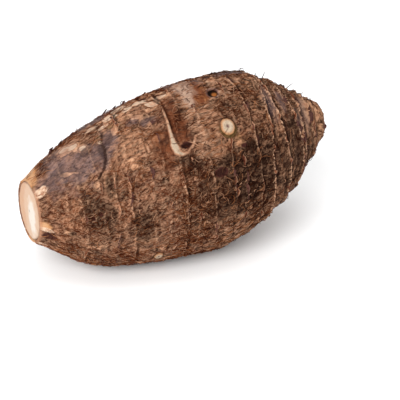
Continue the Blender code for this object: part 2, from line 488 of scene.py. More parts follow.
marks = {
    # ovals: place, angle in degrees, half length and half width in mm, and in some a tilt in degrees
    "tan": [
        (0.29, 38, 13, 15), (0.345, 34, 9, 13), (0.33, 0, 20, 4.5), (0.43, 2, 12, 4.5), (0.14, 2, 10, 9),
        (0.523, 2, 4.5, 16), (0.615, -4, 9, 4), (0.67, 2, 12, 7), (0.73, 0, 8, 4), (0.27, 8, 8, 5),
        (0.22, 62, 5, 5), (0.20, 50, 4, 7), (0.06, 143, 9, 6), (0.33, 110, 9, 14), (0.885, 66, 2.5, 8),
        (0.95, 60, 4, 9), (0.862, 44, 2.6, 5), (0.90, 30, 3, 4), (0.42, -62, 12, 12), (0.25, -95, 10, 15),
        (0.62, -50, 9, 12), (0.52, -130, 12, 10), (0.18, 175, 10, 10), (0.70, 150, 8, 14),
    ],
    "flake": [
        (0.295, -1, 7, 2.8, -12), (0.318, 6, 5, 2.2, 15), (0.34, -8, 7, 2.4, 8), (0.352, 12, 5, 1.9, 20),
        (0.385, -2, 7.5, 2.7, 10), (0.40, 10, 6, 2.1, -14), (0.416, 4, 6, 2.3, 14), (0.45, -8, 6, 2.0),
        (0.468, 1, 5.5, 2.2, -8), (0.275, 14, 2.2, 4.6, 20), (0.30, 20, 5, 2), (0.37, 16, 5, 2, 10),
        (0.26, -8, 5, 2.4), (0.113, -4, 4.5, 3.6, 30), (0.13, 1, 4.5, 4.0), (0.150, 5, 3.6, 4.6),
        (0.168, 13, 3.0, 4.4), (0.20, 52, 2.2, 4.5, 20), (0.213, 62, 4.5, 1.4, 60), (0.62, -3, 6, 1.8),
        (0.665, -1, 9, 1.6), (0.70, 3, 7, 1.4, 10), (0.645, 4, 4, 2.2, 20), (0.66, 9, 5, 1.6, 60),
        (0.59, 0, 2.4, 3.2), (0.505, 28, 1.6, 5), (0.53, 42, 1.6, 5), (0.70, 8, 2.0, 4.5),
        (0.735, 12, 1.6, 4), *scattered(301, 60, (1.8, 5.5), (1.0, 2.4)),
    ],
    "peel": [
        (0.283, -6, 6.5, 5.0, -6), (0.318, -12, 6, 4.6, 6), (0.340, -3, 4.5, 3.2, 15),
        (0.379, -4, 5.2, 4.6, 10), (0.414, 4.5, 5.0, 4.2, 8), (0.446, 0, 5.0, 2.4),
        (0.120, -2, 3.2, 2.6, 30), (0.143, 3, 3.4, 2.6, 20), (0.166, 12, 2.4, 2.2, 30),
        (0.215, -6, 5, 2.4, 10), (0.252, 2, 4, 2.6), (0.30, 150, 5, 3.0, 20), (0.44, -80, 5, 3.0, -10),
        (0.66, -120, 5, 3.0, 10),
    ],
    "scab": [
        (0.155, 84, 5, 3, 20), (0.62, 68, 4, 2), (0.245, 66, 3, 4), (0.475, 58, 3.5, 3),
        (0.69, 44, 1.5, 5), *scattered(302, 60, (1.6, 4.5), (1.2, 3.6)),
    ],
    "bumpTan": [(0.528, 2, 5.2, 13), (0.538, -10, 5.6, 6), (0.518, 15, 4.0, 7)],
    "bumpAmber": [(0.558, 3, 6.0, 13), (0.553, 15, 6, 9)],
    "fuzz": [
        (0.54, 38, 9, 18), (0.61, 0, 9, 4), (0.503, 24, 5.5, 16), (0.53, 52, 7, 9), (0.64, 14, 8, 5),
        (0.545, 24, 7, 8), (0.69, 6, 6, 5), (0.48, -75, 12, 16), (0.60, 120, 12, 14), (0.55, -150, 12, 12),
        (0.30, 175, 12, 10),
    ],
    "purple": [
        (0.085, 20, 14, 17, 15), (0.085, 0, 10, 10), (0.13, 30, 12, 12), (0.15, 18, 8, 7),
        (0.245, 20, 6, 9), (0.372, 19, 5, 4, 20), (0.335, 14, 4, 4), (0.20, 28, 8, 10),
        (0.777, 27, 3.6, 15), (0.828, 30, 2.6, 12), (0.872, 50, 2.4, 10), (0.915, 40, 3.0, 14),
        (0.953, 52, 1.8, 10), (0.581, -6, 4, 7), (0.235, -22, 15, 5, 8), (0.37, -28, 15, 4, -10),
        (0.50, -22, 13, 5, 6), (0.72, -14, 20, 6), (0.20, -60, 12, 14), (0.48, -100, 10, 16),
        (0.11, -120, 9, 12), (0.77, -70, 3.5, 26), (0.65, -160, 9, 9),
    ],
    "rust": [
        (0.395, 41, 7, 14), (0.372, 50, 4, 8), (0.460, 33, 5.5, 15), (0.443, 46, 2.2, 3.0),
        (0.545, 3, 5, 9), (0.60, 28, 5, 6), (0.56, 42, 6, 9), (0.61, 53, 9, 7), (0.70, 22, 7, 4),
        (0.79, 26, 2, 3), (0.09, 75, 12, 18), (0.05, 60, 8, 14), (0.42, 70, 8, 8), (0.07, -60, 8, 18),
        (0.36, -120, 7, 16), (0.68, -90, 6, 14),
    ],
    "tip": [(0.965, 45, 7, 16), (0.93, 40, 5, 8), (0.90, 62, 4, 7)],
    "olive": [
        (0.284, 12, 4, 3), (0.270, 7, 3, 4), (0.222, 13, 3, 3), (0.945, 38, 4, 9), (0.868, 40, 3, 6),
        (0.62, 50, 4, 4), (0.40, -110, 8, 9),
    ],
    "silky": [(0.462, 33, 5.4, 17), (0.452, 17, 4.5, 10), (0.396, 42, 7.5, 14), (0.50, -95, 8, 14)],
    "collar": [
        (0.008, -14, 5.4, 13, 10), (0.007, 91, 4.2, 3.0, 35), (0.006, -40, 4.0, 5), (0.004, 172, 3, 9),
    ],
    "cream": [
        (0.015, 37, 3.2, 3.4), (0.012, 98, 4.6, 1.5, 25), (0.014, 146, 3.6, 2.2), (0.02, -150, 3.5, 3),
        (0.219, 17, 1.3, 1.2),
    ],
    # dark: the skin's own dark spots, painted shade over the lower front of the crown half, and a darker top
    # edge
    "dark": [
        (0.478, 28, 2.2, 14), (0.66, 74, 24, 13), (0.988, 77, 2.6, 2.6), (0.935, 50, 1.1, 9, 10),
        (0.968, 60, 1.0, 6), (0.462, 57, 6, 3.5), (0.60, 66, 14, 6), (0.160, 72, 9, 12), (0.185, 80, 7, 9),
        (0.21, 58, 5, 8), (0.554, 70, 5.5, 4.2), (0.642, 58, 2.4, 1.6), (0.215, 27, 2.6, 6),
        (0.64, 84, 28, 20), (0.62, 72, 18, 8), (0.68, 60, 12, 5), (0.74, 70, 12, 12), (0.84, 62, 10, 12),
        (0.20, -26, 15, 4, 8), (0.33, -31, 17, 3.2, -6), (0.46, -25, 14, 4, 5), (0.70, -22, 30, 4),
        (0.86, 95, 18, 16), (0.47, 62, 6, 5), (0.30, 95, 8, 10), (0.72, 95, 9, 10),
    ],
}

edges = {  # how ragged and how soft a mark's edge is; that of the others is wide
    "tan": (0.45, 0.19), "olive": (0.45, 0.19), "collar": (0.45, 0.19), "peel": (0.45, 0.25),
}
wideEdge = (0.8, 0.5)

relief = {
    "tilt": math.radians(24),  # the way the wrinkles and fine fibres climb
    # unevenness: height in mm, size of its largest waves in mm, seed, layers
    "swells": (0.9, 26.0, 11, 2),
    "lumps": (0.48, 8.0, 21, 3),
    "wrinkles": (2.0, 3.4, 31, 2),
    "grain": (0.28, 2.0, 41, 2),
    "flakiness": (1.0, 20.0, 61, 2),
    "folds": (1.0, 2.6, 65, 2),
    "plates": (6.0, 51),  # size in mm and seed
    "wrinkleHeight": 0.75,
    "plateHeight": 0.8,
    "foldHeight": 0.9,
    "bumpEdge": (0.25, 0.19),  # how ragged and how soft
    "pits": [  # place, angle, half length, half width, depth in mm, darkness, which is the pit's own dark colour together with painted shade in its hollow
        (0.604, 14, 4, 5, 1.6, 0.4), (0.463, 47.5, 3.6, 2.2, 1.7, 0.75), (0.022, 113, 4.2, 4.2, 0.9, 0.42),
        (0.554, 70, 4.6, 3.2, 1.3, 0.7), (0.642, 58, 2.2, 1.3, 0.6, 0.6), (0.395, -72, 2.3, 2.3, 2.4, 1),
        (0.68, -118, 2.5, 2.4, 2.8, 1), (0.31, 165, 2, 2.2, 1.6, 1), (0.74, -48, 1.9, 1.9, 1.8, 0.9),
        (0.24, -140, 2.2, 2, 1.6, 0.9), (0.165, 76, 1.6, 1.6, 0.9, 0.6), (0.143, 79, 1.4, 1.6, 0.8, 0.6),
    ],
    "easings": [  # gentle swellings and hollows: place, angle, half length, half width, height in mm
        (0.30, -34, 60, 30, -1.0), (0.07, 128, 22, 22, -1.3), (0.86, 70, 18, 26, 0.5),
    ],
    "bumps": [  # clearer ones, given in the same way
        (0.54, 2, 9, 17, 1.5), (0.455, 34, 5, 16, -0.7), (0.29, 38, 15, 18, 0.5), (0.772, 30, 3.2, 40, -0.6),
        (0.986, 77, 2, 2.2, 2.6), (0.62, -60, 14, 20, 0.8), (0.40, -130, 16, 22, 0.9),
        (0.48, 110, 14, 20, 0.7),
    ],
    "wormHole": (0.604, 14),  # place and angle of the round hole
    "buds": [(0.606, 43.3, 1.26), (0.465, -104, 0.9), (0.352, 128, 0.8)],  # place, angle, size
    "streaks": [  # pale bands, each through places, angles and half widths in mm
        [(0.437, 6, 0.2), (0.432, 17, 0.3), (0.430, 26, 0.4), (0.427, 33, 0.7), (0.426, 39, 1.2),
         (0.426, 45, 2.3), (0.430, 49.5, 2.2), (0.443, 52.5, 1.1), (0.463, 52.5, 0.6), (0.484, 49, 0.5),
         (0.500, 43, 0.3)],
        [(0.345, 37, 0.4), (0.347, 43, 0.5)],
        [(0.50, -60, 0.3), (0.497, -75, 1.0), (0.503, -92, 0.4)],
    ],
    "cracks": [  # dark splits, given in the same way
        [(0.234, 10, 0.1), (0.222, 18, 0.3), (0.224, 25, 0.4), (0.217, 34, 0.5), (0.204, 41, 0.4),
         (0.180, 47, 0.1)],
        [(0.290, -4, 0.2), (0.312, -8, 0.5), (0.332, -12, 0.2)],
        [(0.40, -3, 0.2), (0.425, 2, 0.5), (0.432, 9, 0.3)],
        [(0.30, -60, 0.2), (0.295, -75, 0.8), (0.31, -92, 0.3)],
        [(0.58, 130, 0.2), (0.60, 120, 0.7), (0.59, 104, 0.3)],
    ],
    "cutReach": 1.7,  # how far the lip of the root cut stands out, in mm
    "clearance": 0.02,  # nothing of the skin is nearer to the floor, in mm
}


def tilted(places):
    # turned about the Y axis, so that what runs along X afterwards climbs towards the crown
    x, z = places[..., 0], places[..., 2]
    cosine, sine = math.cos(relief["tilt"]), math.sin(relief["tilt"])
    return np.stack([x * cosine + z * sine, places[..., 1], z * cosine - x * sine], -1)


def worn(places):
    # 1 on the belly patch that the corm lies on, 0 a few millimetres above it
    return smoothStep(4.0, 0.8, places[..., 2])


def waves(name, places):
    # layered noise of a named kind: its height times the noise of its size, seed and layers
    height, *kind = relief[name]
    return height * layeredNoise(places, *kind)


def grownLift(places, u):
    # the unevenness all over the skin, in mm: swells, lumps, creased wrinkles, grain and loose plates;
    # with it the plates' numbers, and where the skin is flaky
    long = tilted(places) * np.array([0.3, 1, 1])
    wrinkles = relief["wrinkleHeight"] * (0.5 - np.abs(waves("wrinkles", long)))
    grain = waves("grain", places)
    border, number = plates(places * np.array([0.6, 1, 1]) + 1.2 * grain[..., None] * 4, *relief["plates"])
    flaky = smoothStep(-0.25, 0.35, waves("flakiness", places))
    scales = (number - 0.5) * relief["plateHeight"] * smoothStep(0.0, 0.9, border) * flaky
    creased = wrinkles * (0.65 + 0.35 * smoothStep(0.40, 0.58, u))
    lift = waves("swells", places) + waves("lumps", places) + creased + grain + scales
    return lift, number, flaky


def budRelief(places, lift):
    # smooth skin round each bud, a raised ring with a hollow middle; also the distance in bud sizes from the
    # nearest bud, and how far below its middle a place is
    nearest = np.full(lift.shape, farOff["bud"])
    below = np.zeros(lift.shape)
    for budU, budAngle, size in relief["buds"]:
        offset = places - (cormPoint(budU, math.radians(budAngle)) + moveToFrame) / mm
        away = np.linalg.norm(offset * np.array([1.16, 0.94, 0.94]), axis=-1) / size
        below = np.where(away < nearest, smoothStep(2.5, -3.5, offset[..., 2]), below)
        nearest = np.minimum(nearest, away)
    calm = smoothStep(7.0, 4.6, nearest)
    profile = 0.95 * smoothStep(4.9, 3.3, nearest) - 0.75 * bell(nearest, 1.3)
    profile -= 0.5 * bell(nearest - 5.4, 0.8)
    return lift * (1 - 0.85 * calm) + profile, nearest, below


def skinRelief(places, u, angle):
    # everything that lifts or lowers the smooth skin, in mm, and the masks that colour it
    scarLift, scarDistance, scarPower = scarRelief(places, u, angle)
    lift, number, flaky = grownLift(places, u)
    lift += scarLift
    for *spot, height in relief["bumps"]:
        lift += height * patch(u, angle, spot, *relief["bumpEdge"])
    for *spot, height in relief["easings"]:
        lift += height * bell(oval(u, angle, *spot), 1.0)
    folds = waves("folds", places * np.array([1, 0.16, 0.16]))
    lift += smoothStep(0.70, 0.79, u) * relief["foldHeight"] * folds
    pit = np.zeros(u.shape)
    for *spot, depth, darkness in relief["pits"]:
        out = oval(u, angle, *spot)
        lift += -depth * smoothStep(1.15, 0.45, out) + 0.35 * bell(out - 1.35, 0.3)
        pit = np.maximum(pit, darkness * smoothStep(1.2, 0.75, out))
    lift, budDistance, below = budRelief(places, lift)

    streak = np.minimum.reduce([lineDistance(u, angle, line) for line in relief["streaks"]])
    crack = np.minimum.reduce([lineDistance(u, angle, line) for line in relief["cracks"]])
    lift += 0.4 * smoothStep(1.2, -0.4, streak) - 1.5 * smoothStep(0.9, -0.5, crack)

    masks = {}
    for name, spots in marks.items():
        edge = edges.get(name, wideEdge)
        masks[name] = np.maximum.reduce([patch(u, angle, spot, *edge) for spot in spots])
    lift += 0.6 * np.maximum(masks["flake"], masks["peel"]) - 0.4 * masks["scab"]
    smooth = np.clip(masks["collar"] + masks["cream"] + 0.85 * masks["purple"] + 0.6 * masks["silky"], 0, 1)
    bare = np.maximum.reduce([masks["bumpTan"], masks["bumpAmber"], masks["peel"]])
    smooth = np.maximum(smooth, 0.9 * bare)
    for calmed in (0.6 * smooth, 0.35 * masks["fuzz"], 0.9 * worn(places)):
        lift *= 1 - calmed
    lift *= smoothStep(-0.01, 0.02, u)

    along, across = flatPlace(u, angle, *relief["wormHole"])
    masks["hole"] = np.hypot(along, across * 0.78) * 1.13
    depthOut = np.hypot(along - 0.7, (across - 1.2) * 0.75)
    masks["paintedHoleLight"] = smoothStep(2.2, 1.1, depthOut)  # painted light in the hole's depth
    masks.update(scar=scarDistance, power=scarPower, pit=pit, bud=budDistance, below=below, streak=streak)
    masks.update(crack=crack, number=number, flaky=flaky, smooth=smooth)
    return lift, masks


def spread(values, times):
    # averages each grid place with its neighbours, again and again
    for _ in range(times):
        inside = np.pad(values, ((1, 1), (0, 0)), mode="edge")
        beside = np.roll(values, 1, 1) + np.roll(values, -1, 1)
        values = (values * 2 + inside[2:] + inside[:-2] + beside) / 6
    return values


skinLift, skinMasks = skinRelief(placeMm, gridU, gridAngle)
swayedU = gridU + 0.10 * layeredNoise(placeMm, 22.0, 71, 2) + 0.05 * np.sin(gridAngle)
skinMasks["mattedAndShaded"] = smoothStep(0.40, 0.66, swayedU)  # where the fibres make a dark mat; the same mask also paints shade over the crown half
skinMasks["crownward"] = smoothStep(0.69, 0.78, gridU)
lipTop = smoothStep(0.2, 0.7, gridAngle) * smoothStep(2.9, 2.2, gridAngle)
skinMasks["lip"] = smoothStep(1.6, 0.5, gridU * corm["length"]) * lipTop
# painted shade and light from the relief: below 0 in its hollows, above 0 on its crests
skinMasks["paintedReliefShade"] = np.clip((skinLift - spread(skinLift, 14)) / 0.45, -1, 1)
skinGrid = smoothSkin + smoothOutward * (skinLift * mm)[..., None]
skinGrid[..., 0] -= relief["cutReach"] * mm * np.clip(1 - gridU / 0.07, 0, 1) ** 2
skinGrid[..., 2] = np.maximum(skinGrid[..., 2], cormLow[2] + relief["clearance"] * mm)
print("skin relief in mm from", np.round(skinLift.min(), 2), "to", np.round(skinLift.max(), 2))

skinTones = {
    "soot": colour(20, 9, 5),
    "deep": colour(32, 11, 4),
    "umber": colour(54, 24, 12),
    "brown": colour(76, 37, 21),
    "warm": colour(106, 55, 34),
    "tan": colour(180, 130, 100),
    "pale": colour(218, 170, 136),
    "purple": colour(98, 81, 82),
    "plum": colour(134, 116, 119),
    "rust": colour(110, 57, 31),
    "amber": colour(136, 80, 46),
    "orange": colour(184, 128, 84),
    "cream": colour(214, 184, 158),
    "olive": colour(112, 88, 48),
    "down": colour(198, 166, 144),
    "wine": colour(70, 38, 32),
    "mauve": colour(84, 54, 48),
    "paintedHoleLight": colour(158, 94, 46),
    "budFlesh": colour(190, 168, 144),
    "budCentre": colour(96, 56, 56),
    "collar": colour(198, 152, 112),
    "stain": (0.80, 0.565, 0.37, 1.0),  # what the brown parts are multiplied by
    "glaze": (0.87, 0.74, 0.60, 1.0),  # and once more, together with their light and dark marks
}


def skinFinish():
    f = Finish("dry taro skin", skinTones, Roughness=0.85, Specular_IOR_Level=0.05)
    place = f.place
    turned = f.start.node("VectorRotate", {"rotation_type": "Y_AXIS"}, Vector=place, Angle=relief["tilt"])
    clouds = f.noise(place, 0.05)
    blotch = f.noise(place, 0.085, 3.0, 0.6)
    mottle = f.noise(place, 0.15, 4.0, 0.6)
    fine = f.noise(f.stretched(turned, (0.55, 1.0, 1.0)), 0.8, 2.0, 0.6)
    tiny = f.noise(f.stretched(turned, (0.45, 1.0, 1.0)), 1.8, 2.0, 0.6)
    swirl = f.noise(place, 0.2, output=1)
    streaky = f.noise(f.stretched(turned, (0.3, 1.0, 1.0)), 0.42, 3.0, 0.55)
    ringed = f.noise(f.stretched(place, (1.0, 0.2, 0.2)), 0.42, 3.0, 0.55)
    crumb = f.noise(f.stretched(turned, (0.5, 1.0, 1.0)), 0.6, 2.0, 0.6)
    drawn = f.noise(f.stretched(place, (1.0, 0.3, 0.3)), 0.5)
    mattedAndShaded, crownward, purple, dark = (f.mask(name) for name in ("mattedAndShaded", "crownward", "purple", "dark"))

    down = fine.ramp(0.36, 0.6) * 0.5  # short loose fibres all over the skin
    grain = f.mix(crownward, streaky, ringed)
    smooth = f.mask("smooth")
    rough = (1.0 - smooth * 0.85) * (1.0 - f.mask("flake") * 0.4) * (1.0 - f.mask("fuzz") * 0.35)

    def mottled(low, high, first, second):
        return f.mix(mottle.ramp(low, high), first, second)

    # the zones, seen from afar
    f.shown = f.mix(clouds.ramp(0.36, 0.64), "brown", "warm")
    f.lay(mottle.ramp(0.52, 0.40) * 0.5, "mauve")
    # the fibre mat in umber, darkened also as painted shade over the crown half
    f.lay(mattedAndShaded * blotch.ramp(0.36, 0.56, 0.95, 0.45), "umber")
    f.lay(f.mask("rust") * mottle.ramp(0.3, 0.5) * 0.85, "rust")
    f.lay(purple * (0.92 - crownward * 0.37), "purple")
    f.lay(purple * mottle.ramp(0.46, 0.64) * (0.75 - crownward * 0.3), "plum")
    papery = f.mask("tan").larger(0.5)
    f.lay(papery * (streaky * 0.6 + mottle * 0.4).ramp(0.36, 0.58) * 0.85, "tan")
    f.lay(f.mask("number").ramp(0.20, 0.12) * f.mask("flaky") * 0.45, "mauve")
    fissure = f.noise(f.stretched(turned, (0.25, 1.0, 1.0)), 0.28).near(0.5, 0.035)
    f.lay(fissure * (0.3 + purple * 0.6) * (1.0 - crownward), "deep")
    f.lay(f.mask("olive") * mottle.ramp(0.35, 0.55) * 0.7, "olive")

    # flakes with a dark outline, peeled patches with a paler middle, and scabs
    flake = f.mask("flake").jittered(crumb, 1.3)
    f.lay(flake.near(0.26, 0.25) * 0.6, "deep")
    f.lay(flake.ramp(0.34, 0.72) * 0.8, mottled(0.38, 0.6, "tan", "pale"))
    peel = f.mask("peel").jittered(crumb, 0.4)
    f.lay(peel.near(0.34, 0.3) * 0.75, "deep")
    f.lay(peel.ramp(0.5, 0.85) * 0.95, mottled(0.32, 0.56, "tan", "cream"))
    f.lay(f.mask("scab").jittered(crumb, 1.0).ramp(0.35, 0.6) * 0.8, mottled(0.4, 0.6, "soot", "umber"))
    f.lay(blotch.ramp(0.50, 0.34) * (1.0 - f.mask("tan") * 0.7) * 0.6, "deep")
    # dark spots, with painted shade over the lower front of the crown half
    f.lay(dark * 0.94, "deep")

    # behind the strong rings of the crown the skin is dark and purplish in a wide valley
    scar = f.mask("scar").jittered(fine, 1.6)
    power = f.mask("power")
    valley = scar.ramp(0.2, 1.0) * scar.ramp(5.6, 3.6) * crownward * power.ramp(0.5, 0.9)
    f.lay(crownward * 0.18, "umber")
    f.lay(f.mask("tip") * 0.92, mottled(0.33, 0.52, "tan", "pale"))
    f.lay(valley * 0.95, mottled(0.40, 0.58, "deep", "wine"))
    f.lay(ringed.ramp(0.56, 0.66) * crownward * 0.5, "tan")
    fuzz = f.mask("fuzz") * mottle.ramp(0.36, 0.54)
    downy = f.noise(f.warped(f.stretched(turned, (0.17, 1.0, 1.0)), swirl, 1.2), 0.55, 3.0, 0.65)
    f.lay(fuzz * 0.85, f.mix(downy.ramp(0.43, 0.61), "rust", "down"))

    # all but the peeled and purple parts are multiplied by a stain, the rust ones most
    unstained = f.mask("peel").larger(0.5)
    stained = f.mask("rust").larger(0.5) * (1.0 - purple * 0.75) * (1.0 - unstained)
    f.lay(stained, "stain", "MULTIPLY")

    # fine light and dark marks of each zone's own tone
    lighter = f.mix(0.76 - mattedAndShaded * 0.22 - dark * 0.3, f.shown, "pale")
    darker = f.mix(0.82 + mattedAndShaded * 0.04, f.shown, "deep")
    f.lay(grain.ramp(0.54, 0.38) * rough * (0.54 + mattedAndShaded * 0.40), darker)
    dotted = rough * (0.26 + mattedAndShaded * 0.5 - crownward * 0.3)
    f.lay(fine.ramp(0.46, 0.34) * dotted, darker)
    f.lay(tiny.ramp(0.54, 0.68) * dotted, lighter)
    f.lay(grain.ramp(0.54, 0.68) * crownward * 0.6, lighter)
    f.lay(down * rough * 0.8, lighter)
    f.lay(fuzz * 0.3, "pale")
    # painted shade in the relief's hollows and painted highlight on its crests
    paintedReliefShade = f.mask("paintedReliefShade")
    f.lay(paintedReliefShade.ramp(0.1, -0.8) * (0.4 + mattedAndShaded * 0.25), darker)
    f.lay(paintedReliefShade.ramp(0.2, 1.0) * fine.ramp(0.35, 0.6) * 0.6, lighter)
    f.lay(stained * (0.3 + mattedAndShaded * 0.5 + dark * 0.2), "glaze", "MULTIPLY")

    # each leaf scar: a pale torn edge, and a dark groove behind it
    f.lay(scar.ramp(0.2, 0.9) * scar.ramp(3.6, 2.2) * power * 0.95, "deep")
    f.lay(scar.near(-0.1, 1.05) * power * fine.ramp(0.33, 0.54) * (0.8 + crownward * 0.2), "pale")
    f.lay(purple * 0.3, "purple")

    # smooth places: silky bands, the swelling in front, the collar and cream patches of the root cut
    f.lay(f.mask("silky") * 0.7, mottled(0.35, 0.65, "umber", "rust"))
    amber = f.mix(drawn.ramp(0.4, 0.62), "rust", "amber")
    f.lay(f.mask("bumpAmber") * 0.85, f.mix(drawn.ramp(0.6, 0.7) * 0.5, amber, "orange"))
    f.lay(f.mask("bumpTan") * 0.72, f.mix(drawn.ramp(0.36, 0.66) * 0.6, "down", "mauve"))
    f.lay(f.mask("collar"), mottled(0.35, 0.6, "orange", "collar"))
    creamy = f.mix(fine.ramp(0.35, 0.6), "tan", "cream")
    f.lay(f.mask("cream").ramp(0.1, 0.8) * fine.ramp(0.28, 0.46, 0.4, 0.95), creamy)
    f.lay(f.mask("lip") * 0.7, "tan")

    # cracks, pits, the worm hole, the pale streaks and the buds
    f.lay(f.mask("crack").jittered(fine, 1.2).ramp(1.2, 0.0) * 0.7, "deep")
    pit, hole = f.mask("pit"), f.mask("hole")
    # pits: their own dark colour, with painted shade in the hollow
    f.lay(pit.ramp(0.1, 0.5), "wine")
    f.lay(pit.ramp(0.5, 0.9) * 0.95, "soot")
    f.lay(hole.near(4.6, 1.0) * 0.25, "plum")
    # painted shadow inside the worm hole, and painted light on one side of its depth
    f.lay(hole.ramp(3.9, 3.3), "soot")
    f.lay(f.mask("paintedHoleLight"), mottled(0.4, 0.6, "paintedHoleLight", "amber"))
    streak = f.mask("streak").jittered(mottle, 1.6).jittered(fine, 1.0)
    f.lay(streak.near(0.9, 0.9) * 0.35, "deep")
    f.lay(streak.ramp(0.7, -0.5) * 0.9, f.mix(streak.ramp(0.1, -0.9), "tan", "budFlesh"))
    bud = f.mask("bud").jittered(mottle, 1.6)
    f.lay(bud.ramp(6.3, 4.9) * f.mask("below") * 0.7, "olive")
    f.lay(bud.near(4.8, 0.7) * 0.5, "deep")
    f.lay(bud.ramp(4.7, 4.0), f.mix(bud.ramp(4.6, 2.4), "orange", "budFlesh"))
    f.lay(bud.ramp(1.8, 0.5) * 0.8, "budCentre")
    f.feed("Base Color", f.shown)

    f.feed("Roughness", 0.82 - smooth * 0.28 - down * 0.08 + (fine - 0.5) * 0.2)
    f.bump((fine * 0.9 + tiny * 0.5 + grain) * rough + down * 0.8, 0.8 * mm)
    return f.material


cutEnd = {
    # shares of the rim and their depths in mm, from the rim inwards, and the depth of the middle
    "steps": ((0.975, 0.0), (0.945, 0.35), (0.93, 1.6), (0.92, 3.0), (0.6, 3.2), (0.3, 3.2)),
    "depth": 3.2,
    "inRim": 3,  # how many of the steps still belong to the skin's own edge
}

crownEnd = {
    "shares": np.linspace(0.95, 0.06, grid["crownRows"])[:, None],  # of the crown's rim, row by row
    "leafBases": 2.4,  # rings of torn leaf bases from the rim to the middle
    "phase": 0.7,
    "crestAt": 0.3,  # where a ring has its crest, and the valley behind it
    "valleyAt": 0.62,
    "rise": 3.4,
    "crest": 0.7,
    "valley": 0.6,
    "spacing": 6.0,
}


def crownPhase():
    # where each place of the crown end stands between one ring of leaf bases and the next, 0 to 1
    shares = crownEnd["shares"]
    sway = 0.22 * np.cos(angles + 2) + 0.12 * np.cos(angles * 2 - shares * 5) + 0.05 * np.cos(angles * 7)
    return ((1 - shares) * crownEnd["leafBases"] + sway * shares + crownEnd["phase"]) % 1


def closedSkin():
    # the body's grid, closed at both ends by more rings: at the cut it turns in over the skin's thickness and
    # runs to a middle point behind the flesh; at the crown it climbs over old leaf bases to a low middle
    rim, crownRim = skinGrid[0], skinGrid[-1]
    middle, crownMiddle = rim.mean(0), crownRim.mean(0)
    start = []
    for share, depth in cutEnd["steps"]:
        start.append(middle + (rim - middle) * share + np.array([depth * mm, 0, 0]))
    shares = crownEnd["shares"]
    end = crownMiddle + (crownRim - crownMiddle)[None] * shares[..., None]
    phase = crownPhase()
    steps = crownEnd["crest"] * bell(phase - crownEnd["crestAt"], 0.16)
    steps = steps - crownEnd["valley"] * bell(phase - crownEnd["valleyAt"], 0.2)
    rough = 0.6 * layeredNoise(end / mm, 2.6, 81, 2)
    inside = smoothStep(1.0, 0.88, shares)
    end[..., 0] += (0.6 + crownEnd["rise"] * (1 - shares**2) + (steps + rough) * inside) * mm
    cutPole = middle + np.array([cutEnd["depth"] * mm, 0, 0])
    crownPole = end[-1].mean(0) + np.array([0.3 * mm, 0, 0])
    return np.concatenate([np.stack(start[::-1]), skinGrid, end]), cutPole, crownPole


def gridFaces(rowCount, columnCount):
    # quads of a grid that is closed round its columns
    row, column = np.meshgrid(np.arange(rowCount - 1), np.arange(columnCount), indexing="ij")
    following = (column + 1) % columnCount
    low, high = row * columnCount, (row + 1) * columnCount
    return np.stack([low + column, high + column, high + following, low + following], -1).reshape(-1, 4)


def closedFaces(rowCount, columnCount):
    # the same grid with a fan at each end, round two poles that stand after the grid's points
    column = np.arange(columnCount)
    following = (column + 1) % columnCount
    last, pole = (rowCount - 1) * columnCount, np.full(columnCount, rowCount * columnCount)
    start = np.stack([following, column, pole, pole], -1)
    end = np.stack([last + column, last + following, pole + 1, pole + 1], -1)
    return np.concatenate([gridFaces(rowCount, columnCount), start, end])


def sheetMap(rowCount, columnCount):
    # map of a grid closed round its columns and by a fan at each end: laid out flat, cut open at column 0
    row, column = np.meshgrid(np.arange(rowCount - 1), np.arange(columnCount), indexing="ij")
    left, right = column / columnCount, (column + 1) / columnCount
    low, high = (row + 1) / (rowCount + 1), (row + 2) / (rowCount + 1)
    walls = np.stack([left, low, left, high, right, high, right, low], -1).reshape(-1, 4, 2)
    left, right, middle = left[0], right[0], (left[0] + right[0]) / 2
    ones = np.ones(columnCount)
    first, last = ones / (rowCount + 1), ones * rowCount / (rowCount + 1)
    start = np.stack([right, first, left, first, middle, 0 * ones, middle, 0 * ones], -1)
    end = np.stack([left, last, right, last, middle, ones, middle, ones], -1)
    return np.concatenate([walls, start.reshape(-1, 4, 2), end.reshape(-1, 4, 2)])


def makeSkin():
    whole, cutPole, crownPole = closedSkin()
    rowCount, count = whole.shape[:2]
    points = np.concatenate([whole.reshape(-1, 3), cutPole[None], crownPole[None]])
    piece = makePiece("cormSkin", points, closedFaces(rowCount, count), skinFinish())
    giveMap(piece, sheetMap(rowCount, count))
    crownMasks = {
        "scar": (crownPhase() - crownEnd["crestAt"]) * crownEnd["spacing"],
        "power": 0.55,
        "crownward": 0.6,
        "mattedAndShaded": 0.7,
        "tip": smoothStep(1.0, 0.5, crownEnd["shares"]),
    }
    nothing = {**farOff, "number": 0.5}  # what a mask holds where it shows nothing, if that isn't 0
    for name, mask in skinMasks.items():
        empty = nothing.get(name, 0.0)
        start = np.full((len(cutEnd["steps"]), count), empty)
        start[-cutEnd["inRim"]:] = mask[0]
        end = np.full((grid["crownRows"], count), empty)
        end[:] = crownMasks.get(name, empty)
        giveAttribute(piece, name, np.append(np.concatenate([start, mask, end]), [empty] * 2))
    return piece


